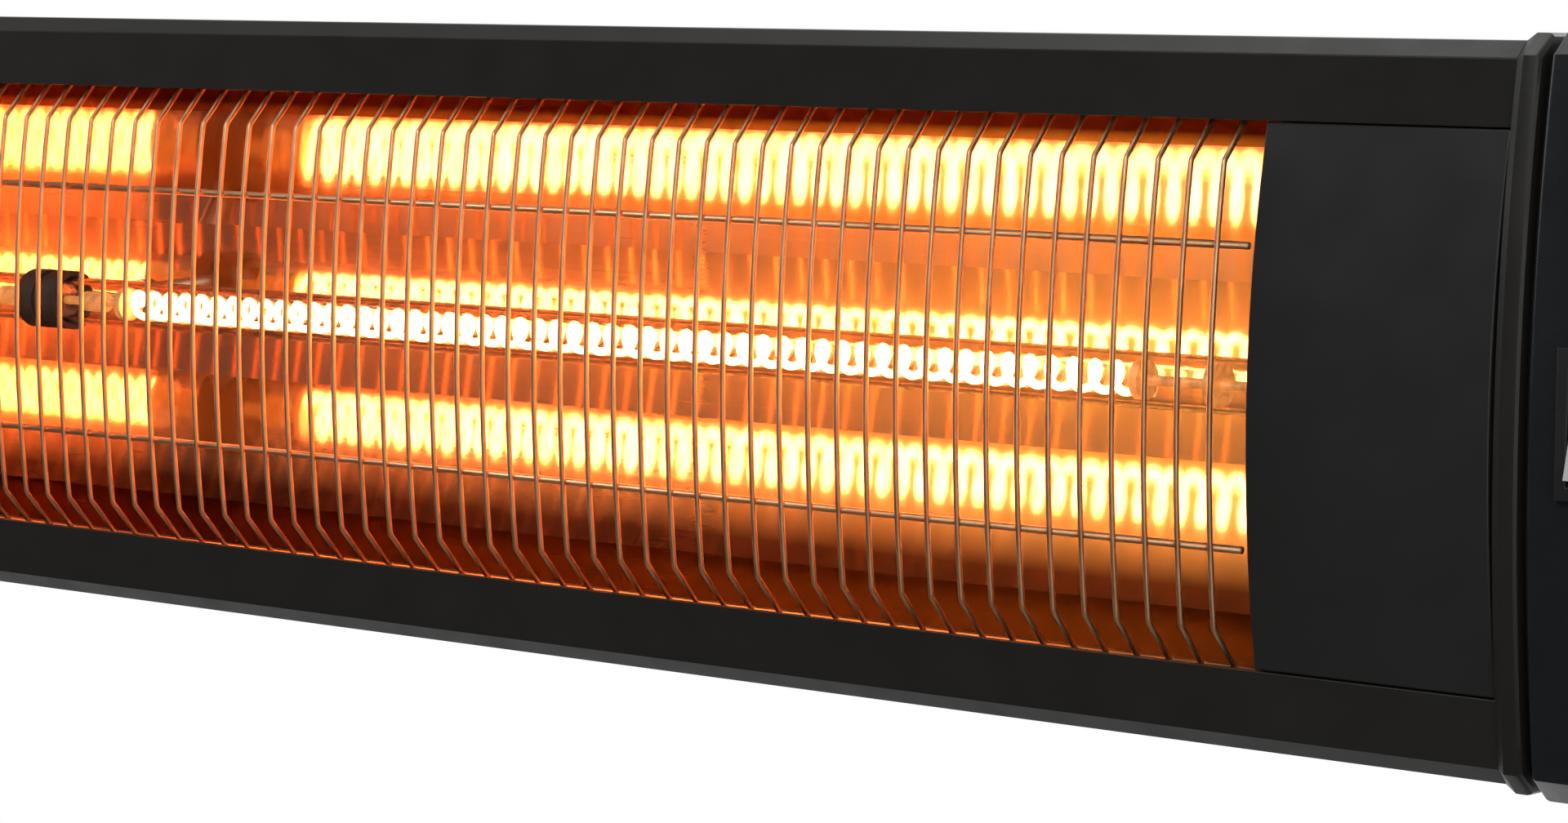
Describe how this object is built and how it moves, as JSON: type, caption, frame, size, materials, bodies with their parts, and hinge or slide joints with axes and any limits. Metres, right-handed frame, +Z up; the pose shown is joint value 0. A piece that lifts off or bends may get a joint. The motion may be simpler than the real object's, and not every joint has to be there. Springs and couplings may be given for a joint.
{
  "type": "electric bar heater",
  "caption": "Wall-mounted electric bar heater: black extruded housing, wire guard, polished trough and two quartz lamps end to end, on tilting wall brackets.",
  "frame": {"origin": "on the wall plane, in the middle of the four wall holes", "axes": "+X along the heater, to the right seen from its front; +Y into the wall, so the front faces -Y; +Z up"},
  "size_m": [0.963, 0.1527, 0.1484],
  "materials": {
    "bracket_paint": "satin powder coat",
    "housing_paint": "satin",
    "cap_gloss": "semi-gloss",
    "panel_paint": "satin",
    "seal_rubber": "matt",
    "mirror_sheet": "polished",
    "shield_sheet": "mill finish",
    "zinc_steel": "zinc plated",
    "guard_wire": "bright",
    "quartz": "clear",
    "glowing_coil": "glowing",
    "lead_metal": "heat-darkened",
    "holder_ceramic": "matt, heat-darkened",
    "white_ceramic": "matt",
    "block_plastic": "matt",
    "red_sleeve": "matt",
    "dark_sleeve": "matt",
    "earth_sleeve": "matt",
    "brass": "plain",
    "gland_plastic": "matt",
    "switch_plastic": "matt",
    "rocker_plastic": "semi-gloss"
  },
  "bodies": {
    "wall_brackets": {"wall_bracket_left": "bracket_paint", "wall_bracket_right": "bracket_paint"},
    "heater": {"tilt_arm_left": "bracket_paint", "tilt_arm_right": "bracket_paint", "pivot_bolts": "zinc_steel", "pivot_nuts": "zinc_steel", "lock_bolts": "zinc_steel", "lock_washers": "zinc_steel", "lock_nuts": "zinc_steel", "slot_bolts": "zinc_steel", "slot_nuts": "zinc_steel", "housing": "housing_paint", "reflector": "mirror_sheet", "heat_shield": "shield_sheet", "reflector_end_left": "mirror_sheet", "reflector_end_right": "mirror_sheet", "wire_guard": "guard_wire", "cover_panel_left": "panel_paint", "cover_panel_right": "panel_paint", "end_collar_left": "housing_paint", "end_collar_right": "housing_paint", "end_seal_left": "seal_rubber", "end_seal_right": "seal_rubber", "end_cap_left": "cap_gloss", "end_cap_right": "cap_gloss", "end_cap_screws": "zinc_steel", "quartz_tube_left": "quartz", "quartz_tube_right": "quartz", "filament_left": "glowing_coil", "filament_right": "glowing_coil", "lamp_leads_left": "lead_metal", "lamp_leads_right": "lead_metal", "centre_lamp_holder": "holder_ceramic", "centre_holder_post": "zinc_steel", "centre_holder_nut": "zinc_steel", "outer_lamp_holder_left": "white_ceramic", "outer_lamp_holder_right": "white_ceramic", "holder_bracket_left": "zinc_steel", "holder_bracket_right": "zinc_steel", "terminal_block": "block_plastic", "terminal_screws": "zinc_steel", "supply_wire_left": "red_sleeve", "supply_wire_right": "red_sleeve", "supply_wire_centre": "dark_sleeve", "earth_screw": "brass", "earth_wire": "earth_sleeve", "switch_wires": "dark_sleeve", "cable_gland_body": "gland_plastic", "cable_gland_nut": "gland_plastic", "cable_gland_locknut": "gland_plastic", "switch_body": "switch_plastic"},
    "rocker": {"switch_rocker": "rocker_plastic"}
  },
  "joints": [
    {"name": "tilt", "type": "hinge", "parent": "wall_brackets", "child": "heater", "pos_m": [0, -0.046, 0], "axis": [1, 0, 0], "range_deg": [0, 45]},
    {"name": "rocker_switch", "type": "hinge", "parent": "heater", "child": "rocker", "pos_m": [0.4653, -0.1471, 0], "axis": [1, 0, 0], "range_deg": [0, 14]}
  ]
}
